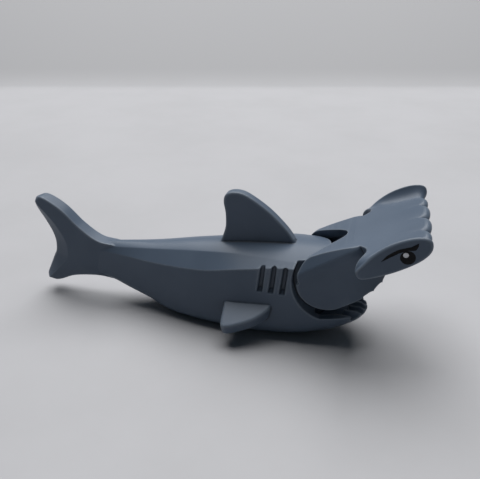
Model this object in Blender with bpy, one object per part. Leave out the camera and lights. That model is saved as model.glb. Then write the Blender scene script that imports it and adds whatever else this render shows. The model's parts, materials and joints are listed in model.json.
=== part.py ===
"""A hinged hammerhead shark figurine, moulded in two pieces.

The body carries the tail, the fins and the lower jaw. The hammer-shaped head is the upper jaw: it turns on two
short pins of the body, so that the mouth opens and shuts. X runs from the tail to the nose and Z runs up, the
figurine is symmetric about the plane Y = 0, and the origin is in the middle of the flat that it rests on.

Sizes below are in millimetres, and mesh_object turns them into metres. Places along the body are counted from the
jaw hinge, positive towards the nose. The head is drawn shut, about its hinge axis, and then turned open.
"""

import math

import bmesh
import bpy
import numpy as np

MM = 0.001
SHARP_ANGLE = 32.0  # an edge that turns more than this is shaded sharp

# Jaw hinge
HINGE_AHEAD = 26.5  # from the middle of the belly flat
HINGE_HEIGHT = 20.4
OPEN_ANGLE = 33.0  # degrees between the head's shut drawing and the rest pose
PIN_RADIUS = 2.2
PIN_SHARE = 0.64  # how far the pins reach into the thickness of the cheeks
BARREL_RADIUS = 2.8
PIN_CLEARANCE = 0.15
SIDE_CLEARANCE = 0.4

# Long lines of the body, each as (place, height above the floor) or (place, distance from the middle plane)
CROWN = ((-76, 18.6), (-66, 19.8), (-53, 21.2), (-38, 23.8), (-22, 25.8), (-9, 26.7), (12, 26.9))
SHOULDER_HEIGHT = ((-76, 17.8), (-66, 18.9), (-53, 20.4), (-37, 22.6), (-22, 24.2), (-9.5, 24.7), (12, 24.8))
SHOULDER_OUT = ((-76, 1.2), (-66, 2.2), (-53, 3.2), (-37, 5.0), (-22, 6.8), (-9.5, 8.9), (12, 9.0))
EDGE_HEIGHT = ((-76, 16.4), (-66, 17.1), (-52, 17.4), (-36, 18.7), (-24, 21.4), (-9, 23.6), (12, 23.8))
EDGE_OUT = ((-76, 1.4), (-66, 3.0), (-52, 6.0), (-36, 9.1), (-24, 10.6), (-9, 10.9), (12, 10.9))
SIDE_OUT = ((-76, 1.5), (-66, 3.3), (-60, 4.6), (-52, 6.3), (-44, 8.2), (-36, 9.8), (-24, 11.0), (-9, 11.1), (1, 10.5))
BELLY = ((-76, 8.4), (-67, 7.0), (-61, 4.9), (-54, 2.5), (-48, 0.5), (-44, 0.0), (-9, 0.0), (-5.5, 0.3), (-1.6, 1.1),
         (1.0, 1.8), (3.6, 2.8), (6.0, 4.0), (8.5, 5.3), (9.9, 6.4), (10.7, 7.3), (11.2, 8.3))
BELLY_ROUND = ((-76, 5.4), (-20, 5.4), (-7, 8.0), (-1.6, 9.0), (11.2, 9.5))
ROUND_MOST_OF_WIDTH = 0.9
ROUND_MOST_OF_HEIGHT = 0.6
SHOULDER_MOST_OUT = 0.82  # share of the greatest half width, where the jaw closes
EDGE_MOST_OUT = 0.98

# Lower jaw
JAW_ARC_START = 1.0
JAW_REACH = 11.2
RIM = ((-1.2, 9.1), (3.6, 9.6), (9.0, 9.7))
JAW_WALL = 2.1
JAW_FRONT_WALL = 4.9
MOUTH_FLOOR = 7.1
MOUTH_BACK = -3.0
MOUTH_ARC_START = -2.0

# Lower teeth, as the crests between troughs that run along the body, and the lower lip round their front
TROUGHS = ((1.2, 1.03), (3.62, 1.05), (6.33, 1.3))  # (distance from the middle plane, half width), on each side
TROUGH_DEPTH = 1.3  # at the front
TROUGH_FALL = 0.28  # further drop for each millimetre inwards
TROUGH_DEEPEST = 2.3
LIP_HEIGHT = 8.5
LIP_WIDTH = 0.25
CREST_ARC_START = -0.5
CREST_REACH = 9.4

# Upper teeth, as the crests between radial valleys
TOOTH_PITCH = 22.0  # degrees
TOOTH_VALLEYS = 6
TOOTH_CREST = 0.35
VALLEY_DEEPEST = 2.4
UPPER_VALLEY_DEPTH = 0.4
UPPER_VALLEY_FALL = 0.3

# Cut-out beside the neck, in which the head's cheeks turn. Its arc starts at the rear end of the jaw's rim.
CUTOUT_RADIUS = 11.5
CUTOUT_LOW_ANGLE = 73.0  # of the arc's lower end, in degrees under level
CUTOUT_HIGH_ANGLE = 37.0  # of its upper end, where the cut runs straight up
CUTOUT_CENTRE = (
    RIM[0][0] + CUTOUT_RADIUS * math.cos(math.radians(CUTOUT_LOW_ANGLE)),
    RIM[0][1] + CUTOUT_RADIUS * math.sin(math.radians(CUTOUT_LOW_ANGLE)),
)
CUTOUT_REAR = CUTOUT_CENTRE[0] - CUTOUT_RADIUS

# Neck between the cheeks
NECK_HALF_WIDTH = 8.1
NECK_FRONT = -0.4
NECK_CLEARANCE = 0.8  # between the neck and each cheek

# Gill slots
GILLS = 3
GILL_CLEARANCE = 0.9  # between the last gill and the cut-out
GILL_PITCH = 3.1
GILL_WIDTH = 1.5
GILL_LOW = 15.7
GILL_HIGH = 23.8
GILL_DEPTH = 1.3
GILL_LEAN = 6.0  # degrees

# Dorsal fin
DORSAL_OUTLINE = ((-32.4, 22.0), (-31.3, 25.6), (-30.2, 29.5), (-30.2, 33.6), (-30.7, 36.8), (-30.1, 39.0),
                  (-27.8, 40.0), (-24.2, 39.4), (-18.2, 35.6), (-13.2, 30.9), (-10.6, 27.6), (-8.5, 22.0))
DORSAL_THICKNESS = 3.2
DORSAL_ROUND = 0.6

# Pectoral fins, drawn flat with the root on the body's side and then tilted
PECTORAL_OUTLINE = ((-14.3, -2.5), (-14.4, 0.2), (-15.4, 2.7), (-18.6, 5.7), (-22.6, 7.7), (-25.8, 8.7), (-27.3, 8.3),
                    (-27.8, 6.6), (-28.3, -2.5))
PECTORAL_THICKNESS = 4.3
PECTORAL_ROUND = 0.7
PECTORAL_ROOT = (10.4, 11.0)  # out from the middle plane, and up to the top face at the rear
PECTORAL_TILT = 26.0  # down to the tip
PECTORAL_PITCH = 5.0  # up to the front

# Tail fin: rows from the upper tip to the lower tip, each (rear edge place, height, front edge place, height)
TAIL_ROWS = ((-91.2, 31.5, -90.3, 32.5), (-90.7, 28.7, -86.6, 33.1), (-88.4, 24.8, -81.6, 29.5),
             (-86.6, 21.2, -76.4, 24.0), (-85.9, 18.5, -70.6, 20.1), (-85.8, 16.4, -63.0, 18.4),
             (-86.2, 13.9, -60.0, 11.0), (-87.2, 12.2, -64.0, 7.6), (-88.3, 10.4, -71.5, 7.9),
             (-90.1, 7.6, -79.8, 6.8), (-91.0, 5.6, -85.2, 4.6), (-90.6, 4.3, -88.6, 3.9))
TAIL_THICKNESS = 4.6
TAIL_EDGE_THICKNESS = 1.8
TAIL_BEVEL_WIDTH = 5.2
TAIL_FRONT_ROUND = 0.5

# Head, about the hinge axis and shut
CHEEK_RADIUS = 8.2
# Half width and front end of the jaw block, as (height, value)
HEAD_SIDE = ((-9.0, 10.3), (-8.0, 10.4), (-4.0, 10.9), (0.0, 11.1), (4.0, 11.0), (5.7, 10.7), (7.8, 9.1), (8.6, 8.6))
HEAD_FRONT = ((-9.0, 12.9), (-8.0, 13.1), (-3.0, 13.7), (0.5, 15.0), (3.0, 17.0), (8.6, 17.0))
HEAD_ARC_START = ((-9.0, 3.5), (-8.0, 3.5), (-3.0, 4.2), (0.5, 6.0), (3.0, 8.2), (5.7, 9.6), (8.6, 9.6))
HEAD_BOTTOM = -8.0
HEAD_BACK = -9.5
HEAD_FRONT_WALL = 2.6
HEAD_LEVELS = (HEAD_BOTTOM, -5.5, -2.5, 0.5, 3.0, 5.7, 7.8, 8.6)
HEAD_HALF_WIDTH = max(out for _, out in HEAD_SIDE)
CHEEK_INSIDE = NECK_HALF_WIDTH + NECK_CLEARANCE
PIN_LENGTH = PIN_SHARE * (HEAD_HALF_WIDTH - CHEEK_INSIDE)
ROOF_UNDERSIDE = 5.2
ROOF_END = 14.6

# Web of the hammer, as (place, height of its top or its underside)
SHEET_TOP = ((-9.5, 8.3), (0.0, 8.1), (8.8, 6.9), (14.0, 5.5), (22.0, 3.7), (28.0, 2.5))
SHEET_BOTTOM = ((-9.5, 5.6), (8.0, 4.4), (14.0, 0.6), (20.0, 0.0), (28.0, 0.0))
WEB_LIFT = 0.04  # keeps the web's top clear of the roof that it runs on from
WEB_REAR = ((0.0, 10.6), (8.9, 10.6), (9.3, 11.8), (10.2, 12.9), (11.4, 13.5), (13.0, 13.5), (14.6, 12.9), (15.8, 12.0),
            (16.8, 11.0), (17.2, 10.4))  # (distance from the middle plane, rear edge)
WEB_REAR_ROUND = ((0.0, 0.05), (10.2, 0.05), (12.6, 1.2), (17.2, 1.2))
WEB_FRONT = 28.1
WEB_FRONT_ROUND = 1.4
WEB_STATIONS = (0.0, 1.0, 2.0, 3.1, 4.1, 5.1, 6.2, 7.0, 7.6, 8.1, 8.6, 9.1, 9.6, 10.2, 10.8, 11.5, 12.2, 12.9, 13.6,
                14.2, 14.8, 15.4, 16.0, 16.6)
WEB_STEPS = 18  # points along each side of a section

# Scallops of the front edge: (middle, half width, how far it stands out)
SCALLOPS = ((4.1, 4.0, 1.4), (10.8, 2.8, 1.1))
SCALLOP_RIDGE = 0.35
SCALLOP_RIDGE_LENGTH = 9.0

# End lobes of the hammer
LOBE_OUTLINE = ((10.1, 2.2), (10.6, 3.5), (13.0, 4.5), (17.0, 5.8), (21.5, 6.3), (26.2, 5.7), (29.3, 4.2),
                (29.8, 2.4), (28.4, 0.4), (25.0, -0.7), (19.4, -0.8), (14.0, -0.1), (10.8, 0.8))
LOBE_END = 17.95
LOBE_START = 13.0  # where the web starts to rise towards the lobe
LOBE_RIM = ((0.8, 0.0), (0.45, 0.12), (0.15, 0.4), (0.0, 0.8))  # (distance from the end, how much smaller all round)

# U-shaped notch in the roof, as (place, half width)
NOTCH = ((8.8, 0.0), (8.3, 1.5), (6.7, 3.0), (4.7, 4.3), (1.0, 6.6), (-2.9, 8.9), (-6.0, 10.6), (-9.5, 12.4))

# Printed eye and brow on each lobe
EYE_CENTRE = (23.3, 1.8)
EYE_RADIUS = 1.75
GLINT_CENTRE = (23.2, 2.6)
GLINT_RADIUS = 0.65
BROW_TOP = ((17.2, 3.4), (19.5, 4.3), (22.2, 4.55), (24.2, 4.2), (25.8, 3.85), (27.1, 4.1))
BROW_BOTTOM = ((26.7, 3.4), (25.6, 2.8), (23.8, 3.5), (20.4, 3.8))
PRINT_DEPTH = 0.06

BEYOND = 20.0  # how far the cutters run past what they cut

# Colours of the mouldings and the print
GREY = (0.090, 0.112, 0.140, 1.0)
BLACK = (0.008, 0.008, 0.010, 1.0)
WHITE = (0.60, 0.61, 0.62, 1.0)


def clear_scene():
    for old in list(bpy.data.objects):
        bpy.data.objects.remove(old, do_unlink=True)


def plastic(name, colour, roughness):
    """A plain moulded plastic or printed ink."""
    made = bpy.data.materials.new(name)
    made.use_nodes = True
    shader = made.node_tree.nodes["Principled BSDF"]
    shader.inputs["Base Color"].default_value = colour
    shader.inputs["Roughness"].default_value = roughness
    shader.inputs["Metallic"].default_value = 0.0
    made.diffuse_color = colour
    return made


def line(stations, places):
    """A smooth line through (place, value) stations that never overshoots them, read at the given places."""
    x, y = np.array(stations, float).T
    if x[0] > x[-1]:
        x, y = x[::-1], y[::-1]
    step = np.diff(x)
    slope = np.diff(y) / step
    same_way = slope[:-1] * slope[1:] > 0
    weight_a = 2 * step[1:] + step[:-1]
    weight_b = step[1:] + 2 * step[:-1]
    safe_a = np.where(same_way, slope[:-1], 1.0)
    safe_b = np.where(same_way, slope[1:], 1.0)
    inner = np.where(same_way, (weight_a + weight_b) / (weight_a / safe_a + weight_b / safe_b), 0.0)
    tangent = np.concatenate([slope[:1], inner, slope[-1:]])
    at = np.clip(np.atleast_1d(np.asarray(places, float)), x[0], x[-1])
    i = np.clip(np.searchsorted(x, at) - 1, 0, len(step) - 1)
    u = (at - x[i]) / step[i]
    start = (1 + 2 * u) * (1 - u) ** 2 * y[i] + u * (1 - u) ** 2 * step[i] * tangent[i]
    end = u * u * (3 - 2 * u) * y[i + 1] + u * u * (u - 1) * step[i] * tangent[i + 1]
    return start + end


def curve_through(points, per_span, closed=False):
    """A smooth curve through the points, with per_span steps between neighbours."""
    p = np.array(points, float)
    if closed:
        p = np.vstack([p[-1:], p, p[:2]])
    else:
        p = np.vstack([2 * p[0] - p[1], p, 2 * p[-1] - p[-2]])
    u = np.arange(per_span)[None, :, None] / per_span
    a, b, c, d = p[:-3, None], p[1:-2, None], p[2:-1, None], p[3:, None]
    spans = b + 0.5 * u * (c - a + u * (2 * a - 5 * b + 4 * c - d + u * (3 * (b - c) + d - a)))
    found = spans.reshape(-1, p.shape[1])
    return found if closed else np.vstack([found, p[-2]])


def mesh_object(name, points, faces, material):
    """A closed mesh from points in millimetres, with its faces turned outwards."""
    mesh = bpy.data.meshes.new(name)
    mesh.from_pydata((np.asarray(points, float) * MM).tolist(), [], [list(map(int, face)) for face in faces])
    shape = bmesh.new()
    shape.from_mesh(mesh)
    bmesh.ops.remove_doubles(shape, verts=shape.verts, dist=1e-3 * MM)
    bmesh.ops.triangulate(shape, faces=shape.faces)
    bmesh.ops.recalc_face_normals(shape, faces=shape.faces)
    shape.to_mesh(mesh)
    shape.free()
    mesh.shade_smooth()
    mesh.set_sharp_from_angle(angle=math.radians(SHARP_ANGLE))
    mesh.materials.append(material)
    made = bpy.data.objects.new(name, mesh)
    bpy.context.scene.collection.objects.link(made)
    return made


def loft(name, rings, material):
    """A skin over closed rings of equally many points, with a flat cap at each end."""
    rings = np.asarray(rings, float)
    rows, around = rings.shape[:2]
    index = np.arange(rows * around).reshape(rows, around)
    quads = np.stack(
        [index[:-1], np.roll(index, -1, 1)[:-1], np.roll(index, -1, 1)[1:], index[1:]], axis=-1
    ).reshape(-1, 4)
    faces = quads.tolist() + [index[0].tolist(), index[-1].tolist()]
    return mesh_object(name, rings.reshape(-1, 3), faces, material)


def prism(name, outline, low, high, axis, material):
    """An outline of two coordinates carried along the third, from low to high; axis says which that is."""
    rings = np.stack([np.insert(np.asarray(outline, float), axis, level, axis=1) for level in (low, high)])
    return loft(name, rings, material)


def is_level(edge):
    """Whether both ends of an edge are at the same Y."""
    return abs(edge.verts[0].co.y - edge.verts[1].co.y) < 1e-9


def rounded_plate(name, outline, thickness, rounding, material):
    """An outline in X and Z made into a plate that is rounded along its rim."""
    made = prism(name, outline, -thickness / 2, thickness / 2, 1, material)
    shape = bmesh.new()
    shape.from_mesh(made.data)
    rim = [edge for edge in shape.edges if abs(edge.calc_face_angle() - math.pi / 2) < 0.1 and is_level(edge)]
    bmesh.ops.bevel(shape, geom=rim, offset=rounding * MM, segments=3, affect="EDGES", clamp_overlap=True)
    shape.to_mesh(made.data)
    shape.free()
    return made


def boolean(target, other, operation):
    """Joins, cuts or keeps what a helper shape covers, by an exact Boolean that stays live.

    The helper is hidden and becomes the target's child, so that it goes where the target is put.
    """
    other.hide_render = True
    other.display_type = "WIRE"
    other.parent = target
    step = target.modifiers.new(f"{operation.lower()} {other.name}", "BOOLEAN")
    step.operation = operation
    step.solver = "EXACT"
    step.material_mode = "TRANSFER"
    step.object = other
    return target


def mirrored(half):
    """A closed ring from its half on the +Y side, whose first and last points are on the middle plane."""
    half = np.asarray(half, float)
    other = half[-2:0:-1] * (1, -1, 1)
    return np.vstack([half, other])


def ring_of_arc(centre, radius, start, end, steps):
    """Points on an arc, with angles in degrees."""
    angle = np.radians(np.linspace(start, end, steps + 1))
    return np.column_stack([centre[0] + radius * np.cos(angle), centre[1] + radius * np.sin(angle)])


def round_front(half_width, start, reach, back, steps):
    """A plan outline that is straight-sided from back to start and ends in half an ellipse at reach."""
    angle = np.linspace(math.pi / 2, -math.pi / 2, steps + 1)
    nose = np.column_stack([start + (reach - start) * np.cos(angle), half_width * np.sin(angle)])
    return np.vstack([[(back, half_width)], nose, [(back, -half_width)]])


def body_half_width(place):
    """The body's greatest half width, which closes as half an ellipse at the front of the jaw."""
    side = line(SIDE_OUT, place)[0]
    if place <= JAW_ARC_START:
        return side
    share = (place - JAW_ARC_START) / (JAW_REACH - JAW_ARC_START)
    return side * math.sqrt(max(1 - share * share, 0.0))


def body_half_section(place):
    """Half of the body's section: crown, shoulder, edge, side, belly round and belly flat."""
    side = body_half_width(place)
    crown, shoulder, edge, belly = (line(of, place)[0] for of in (CROWN, SHOULDER_HEIGHT, EDGE_HEIGHT, BELLY))
    shoulder_out = min(line(SHOULDER_OUT, place)[0], SHOULDER_MOST_OUT * side)
    edge_out = min(line(EDGE_OUT, place)[0], EDGE_MOST_OUT * side)
    rounding = min(line(BELLY_ROUND, place)[0], ROUND_MOST_OF_WIDTH * side, ROUND_MOST_OF_HEIGHT * (edge - belly))
    u = np.linspace(0, 1, 6)
    top = np.column_stack([shoulder_out * u, crown - (crown - shoulder) * u * u])
    u = np.linspace(0, 1, 4)[1:]
    band = np.column_stack([shoulder_out + (edge_out - shoulder_out) * u, shoulder + (edge - shoulder) * u])
    u = np.linspace(0, 1, 6)[1:]
    flank = np.column_stack([
        edge_out + (side - edge_out) * np.sin(u * math.pi / 2), edge + (belly + rounding - edge) * u
    ])
    turn = ring_of_arc((side - rounding, belly + rounding), rounding, 0, -90, 7)[1:]
    section = np.vstack([top, band, flank, turn, [(0.0, belly)]])
    return np.column_stack([np.full(len(section), place), section])


def make_torso(material):
    """The long moulding from the tail root to the tip of the lower jaw, before the mouth is cut."""
    nose = np.sin(np.linspace(0, math.pi / 2, 14)[1:-1]) * (JAW_REACH - JAW_ARC_START) + JAW_ARC_START
    places = np.concatenate([np.linspace(-76, -12, 27), np.linspace(-10, JAW_ARC_START, 6), nose])
    return loft("body", [mirrored(body_half_section(place)) for place in places], material)


def make_tail(material):
    """The upright tail fin: thick along its front edge, and bevelled to a thin rear edge in a crescent."""
    rows = curve_through(TAIL_ROWS, 3)
    rear, front = rows[:, :2], rows[:, 2:]
    chord = np.linalg.norm(front - rear, axis=1)
    along = np.linspace(0, 1, len(rows))
    tip = np.sqrt(np.clip(1 - (1 - np.minimum(along, 1 - along) / 0.07) ** 2, 0.08, 1))
    tip = np.where(np.minimum(along, 1 - along) > 0.07, 1.0, tip)
    full = TAIL_THICKNESS / 2 * tip
    thin = TAIL_EDGE_THICKNESS / 2 * tip
    bevel = np.minimum(TAIL_BEVEL_WIDTH * np.sin(math.pi * np.clip(along, 0.04, 0.96)) ** 0.8, 0.72 * chord)
    edge = np.minimum(TAIL_FRONT_ROUND, 0.1 * chord)
    spots = (
        (0 * chord, 0 * full),
        (0.12 * bevel, 0.75 * thin),
        (0.3 * bevel, thin + 0.12 * (full - thin)),
        (bevel, full),
        ((bevel + chord) / 2, full),
        (chord - edge, full),
        (chord - 0.3 * edge, full - 0.35 * edge),
        (chord, full - edge),
    )
    near = np.stack([rear + (front - rear) * (distance / chord)[:, None] for distance, _ in spots], axis=1)
    half = np.stack([thickness for _, thickness in spots], axis=1)
    there = np.stack([near[..., 0], half, near[..., 1]], axis=-1)
    back = there[:, :0:-1] * (1, -1, 1)
    return loft("tail_fin", np.concatenate([there, back], axis=1), material)


def make_dorsal(material):
    outline = np.vstack([DORSAL_OUTLINE[:1], curve_through(DORSAL_OUTLINE[1:-1], 3), DORSAL_OUTLINE[-1:]])
    return rounded_plate("dorsal_fin", outline, DORSAL_THICKNESS, DORSAL_ROUND, material)


def make_pectoral(side, material):
    """A pectoral fin on the side given by +1 or -1: a plate that slopes down from its root."""
    outline = np.vstack([PECTORAL_OUTLINE[:1], curve_through(PECTORAL_OUTLINE[1:-1], 3), PECTORAL_OUTLINE[-1:]])
    name = "pectoral_fin_left" if side > 0 else "pectoral_fin_right"
    made = rounded_plate(name, outline, PECTORAL_THICKNESS, PECTORAL_ROUND, material)
    tilt = math.radians(PECTORAL_TILT)
    out, up = PECTORAL_ROOT
    shape = bmesh.new()
    shape.from_mesh(made.data)
    for vertex in shape.verts:
        reach = vertex.co.z
        below = vertex.co.y - PECTORAL_THICKNESS / 2 * MM
        vertex.co.y = side * (out * MM + reach * math.cos(tilt) + below * math.sin(tilt))
        vertex.co.z = up * MM - reach * math.sin(tilt) + below * math.cos(tilt)
        vertex.co.z += (vertex.co.x - PECTORAL_OUTLINE[-1][0] * MM) * math.tan(math.radians(PECTORAL_PITCH))
    shape.normal_update()
    bmesh.ops.recalc_face_normals(shape, faces=shape.faces)
    shape.to_mesh(made.data)
    shape.free()
    return made


def make_neck_core(material):
    """The upright block that the mouth cut leaves standing: the neck, with a round front."""
    start = NECK_FRONT - NECK_HALF_WIDTH
    outline = round_front(NECK_HALF_WIDTH, start, NECK_FRONT, start - BEYOND, 28)
    return prism("neck_core", outline, -BEYOND, CROWN[-1][1] + 2 * BEYOND, 2, material)


def make_mouth_cut(material):
    """Everything above the lower jaw's rim and ahead of the cut-out, and the jaw's hollow, apart from the neck."""
    arc = ring_of_arc(CUTOUT_CENTRE, CUTOUT_RADIUS, 180 - CUTOUT_HIGH_ANGLE, 180 + CUTOUT_LOW_ANGLE, 22)
    ahead = np.linspace(RIM[0][0], RIM[-1][0], 7)[1:]
    rim = np.column_stack([ahead, line(RIM, ahead)])
    high, far = CROWN[-1][1] + BEYOND, JAW_REACH + BEYOND
    outline = np.vstack([[(arc[0][0], high)], arc, rim, [(far, RIM[-1][1]), (far, high)]])
    made = prism("mouth_cut", outline, -BEYOND, BEYOND, 1, material)
    boolean(made, make_mouth_pocket(material), "UNION")
    return boolean(made, make_neck_core(material), "DIFFERENCE")


def make_mouth_pocket(material):
    """The hollow of the lower jaw, inside its wall."""
    half_width = line(SIDE_OUT, JAW_ARC_START)[0] - JAW_WALL
    outline = round_front(half_width, MOUTH_ARC_START, JAW_REACH - JAW_FRONT_WALL, MOUTH_BACK, 24)
    return prism("mouth_pocket", outline, MOUTH_FLOOR, RIM[-1][1] + BEYOND / 2, 2, material)


def make_lip_cut(material):
    """What is taken off outside the teeth, down to the lip: their ends slope down to it all round the front."""
    wide = body_half_width(JAW_ARC_START) + LIP_WIDTH
    top = RIM[-1][1] + 1.0
    level = (LIP_HEIGHT - 1.0, LIP_HEIGHT, RIM[-1][1], 2 * top - RIM[-1][1])
    fall = (JAW_REACH - LIP_WIDTH - CREST_REACH, JAW_ARC_START - CREST_ARC_START)
    rings = []
    for height in level:
        share = (RIM[-1][1] - height) / (RIM[-1][1] - LIP_HEIGHT)
        outline = round_front(wide, CREST_ARC_START + fall[1] * share, CREST_REACH + fall[0] * share, -BEYOND, 26)
        rings.append(np.column_stack([outline, np.full(len(outline), height)]))
    far = JAW_REACH + BEYOND
    corners = ((0.0, -BEYOND), (far, -BEYOND), (far, BEYOND), (0.0, BEYOND))
    made = prism("lip_cut", corners, LIP_HEIGHT, top, 2, material)
    return boolean(made, loft("teeth_core", rings, material), "DIFFERENCE")


def make_trough(name, middle, half, material):
    """A trough with a round bottom between two lower teeth. It runs along the body and falls inwards."""
    turn = np.linspace(0, math.pi, 9)
    rings = []
    for place in (MOUTH_ARC_START + 1.0, JAW_REACH - 2 * TROUGH_DEPTH, JAW_REACH + 1.0):
        deep = min(TROUGH_DEPTH + TROUGH_FALL * (JAW_REACH - place), TROUGH_DEEPEST)
        across = middle + np.concatenate([half * np.cos(turn), [-half, half]])
        height = RIM[-1][1] + np.concatenate([-deep * np.sin(turn), [3.0, 3.0]])
        rings.append(np.column_stack([np.full(len(across), place), across, height]))
    return loft(name, rings, material)


def make_valley(name, angle, centre, reach, level, depth, fall, material):
    """A radial trough with a round bottom between two upper teeth, cut from below."""
    radii = np.array([0.42, 0.75, 1.12]) * reach
    half_pitch = math.radians(TOOTH_PITCH) / 2
    turn = np.linspace(0, math.pi, 9)
    rings = []
    for radius in radii:
        half = max(radius * math.tan(half_pitch) - TOOTH_CREST / 2, 0.2)
        deep = min(depth + fall * max(reach - radius, 0.0), VALLEY_DEEPEST)
        across = np.concatenate([half * np.cos(turn), [-half, half]])
        height = np.concatenate([-deep * np.sin(turn), [3.0, 3.0]])
        rings.append(np.column_stack([np.full(len(across), radius), across, level - height]))
    points = np.array(rings)
    cos, sin = math.cos(math.radians(angle)), math.sin(math.radians(angle))
    x = centre + points[..., 0] * cos - points[..., 1] * sin
    y = points[..., 0] * sin + points[..., 1] * cos
    return loft(name, np.stack([x, y, points[..., 2]], axis=-1), material)


def make_gill(name, place, side, material):
    """The cutter of one gill slot: a narrow leaning box with a sloping floor."""
    lean = math.tan(math.radians(GILL_LEAN))
    rings = []
    for depth, spread in ((-1.0, 0.25), (0.0, 0.12), (GILL_DEPTH, 0.0)):
        half = GILL_WIDTH / 2 + spread
        inner = line(SIDE_OUT, place)[0] - depth
        low, high = GILL_LOW - 2 * spread, GILL_HIGH + spread
        shift = lean * (high - low) / 2
        corners = ((-half - shift, low), (half - shift, low), (half + shift, high), (-half + shift, high))
        rings.append([(place + x, side * inner, z) for x, z in corners])
    return loft(name, rings, material)


def make_hinge_bar(name, radius, half_length, material):
    """A round bar along the hinge axis."""
    return prism(name, ring_of_arc((0, HINGE_HEIGHT), radius, 0, 360 - 360 / 40, 39), -half_length, half_length, 1,
                 material)


def make_body(material):
    body = make_torso(material)
    boolean(body, make_tail(material), "UNION")
    boolean(body, make_dorsal(material), "UNION")
    for side in (1, -1):
        boolean(body, make_pectoral(side, material), "UNION")
    boolean(body, make_mouth_cut(material), "DIFFERENCE")
    boolean(body, make_lip_cut(material), "DIFFERENCE")
    for side in (1, -1):
        for i, (middle, half) in enumerate(TROUGHS):
            name = f"trough_{'left' if side > 0 else 'right'}_{i + 1}"
            boolean(body, make_trough(name, side * middle, half, material), "DIFFERENCE")
    leaning = math.tan(math.radians(GILL_LEAN)) * (GILL_HIGH - GILL_LOW) / 2
    last = CUTOUT_REAR - GILL_CLEARANCE - GILL_WIDTH / 2 - leaning
    for side in (1, -1):
        for i in range(GILLS):
            name = f"gill_{'left' if side > 0 else 'right'}_{i + 1}"
            boolean(body, make_gill(name, last - (GILLS - 1 - i) * GILL_PITCH, side, material), "DIFFERENCE")
    barrel = make_hinge_bar("hinge_barrel", BARREL_RADIUS, CHEEK_INSIDE - SIDE_CLEARANCE, material)
    boolean(body, barrel, "UNION")
    boolean(body, make_hinge_bar("hinge_pins", PIN_RADIUS, CHEEK_INSIDE + PIN_LENGTH, material), "UNION")
    body.location.x = HINGE_AHEAD * MM
    return body


def make_cheeks(material):
    """The jaw block of the head: straight cheeks and a round front, drawn as plan outlines from rim to roof."""
    rings = []
    for level in HEAD_LEVELS:
        outline = round_front(line(HEAD_SIDE, level)[0], line(HEAD_ARC_START, level)[0], line(HEAD_FRONT, level)[0],
                              HEAD_BACK, 26)
        rings.append(np.column_stack([outline, np.full(len(outline), level)]))
    return loft("head", rings, material)


def make_head_profile(material):
    """What is kept of the jaw block, from the side: a round rear about the hinge axis, and the sloping roof line."""
    rear = ring_of_arc((0, 0), CHEEK_RADIUS, 93, 270, 36)
    ahead = np.linspace(ROOF_END, 1.0, 12)
    roof = np.column_stack([ahead, line(SHEET_TOP, ahead)])
    below = [(0, -BEYOND), (WEB_FRONT, -BEYOND), (WEB_FRONT, SHEET_BOTTOM[-1][1]), (ROOF_END + 1.2, 3.6)]
    return prism("head_profile", np.vstack([rear, below, roof]), -BEYOND, BEYOND, 1, material)


def scallop(out):
    """How far the front edge stands out at a distance from the middle plane."""
    reach = 0.0
    for middle, half, height in SCALLOPS:
        share = min(abs(out - middle) / half, 1)
        reach = max(reach, height * math.sqrt(1 - share * share))
    return reach


def end_round(distance, radius):
    """The share of its full thickness that a rounded edge has at a distance from its end."""
    return np.sqrt(np.clip(1 - np.clip(1 - distance / radius, 0, 1) ** 2, 0.02, 1))


def web_section(out, share):
    """Upper and lower line of the web at a distance from the middle plane, from its rear to its front edge."""
    rear = line(WEB_REAR, out)[0]
    front = WEB_FRONT + scallop(out)
    place = rear + (front - rear) * share
    ridge = np.clip((place - (WEB_FRONT - SCALLOP_RIDGE_LENGTH)) / SCALLOP_RIDGE_LENGTH, 0, 1)
    top = line(SHEET_TOP, place) + WEB_LIFT + SCALLOP_RIDGE * ridge * (scallop(out) / SCALLOPS[0][2] - 0.5)
    bottom = line(SHEET_BOTTOM, place)
    thickness = end_round(place - rear, line(WEB_REAR_ROUND, out)[0]) * end_round(front - place, WEB_FRONT_ROUND)
    middle = 0.45 * top + 0.55 * bottom
    return place, middle + (top - middle) * thickness, middle + (bottom - middle) * thickness


def lobe_section(share):
    """Upper and lower line of the lobe, from its rear tip to its front tip."""
    outline = curve_through(LOBE_OUTLINE, 6, closed=True)
    tip = int(np.argmax(outline[:, 0]))
    upper = outline[:tip + 1]
    lower = np.vstack([outline[tip:], outline[:1]])[::-1]
    place = upper[0, 0] + (upper[-1, 0] - upper[0, 0]) * share
    return place, np.interp(place, upper[:, 0], upper[:, 1]), np.interp(place, lower[:, 0], lower[:, 1])


def closed_section(place, top, bottom):
    """A closed ring in X and Z from an upper and a lower line that share their places."""
    return np.column_stack([np.concatenate([place, place[-2:0:-1]]), np.concatenate([top, bottom[-2:0:-1]])])


def inset(outline, distance):
    """The closed outline drawn in by a distance, along the line to its middle where it is thin."""
    middle = (outline.min(0) + outline.max(0)) / 2
    half = (outline.max(0) - outline.min(0)) / 2
    return middle + (outline - middle) * (half - distance) / half


def make_hammer(material):
    """The web and both end lobes: sections across the head that swell from a thin web to an upright lobe."""
    share = (1 - np.cos(np.linspace(0, math.pi, WEB_STEPS))) / 2
    lobe = closed_section(*lobe_section(share))
    half = []
    for out in WEB_STATIONS:
        rise = np.clip((out - LOBE_START) / (LOBE_END - LOBE_RIM[0][0] - LOBE_START), 0, 1)
        web = closed_section(*web_section(out, share))
        half.append((out, web + (lobe - web) * (rise * rise * (0.4 + 0.6 * rise))))
    for back, smaller in LOBE_RIM:
        half.append((LOBE_END - back, inset(lobe, smaller)))
    rings = [(-out, section) for out, section in half[:0:-1]] + half
    return loft("hammer", [np.insert(section, 1, out, axis=1) for out, section in rings], material)


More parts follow.
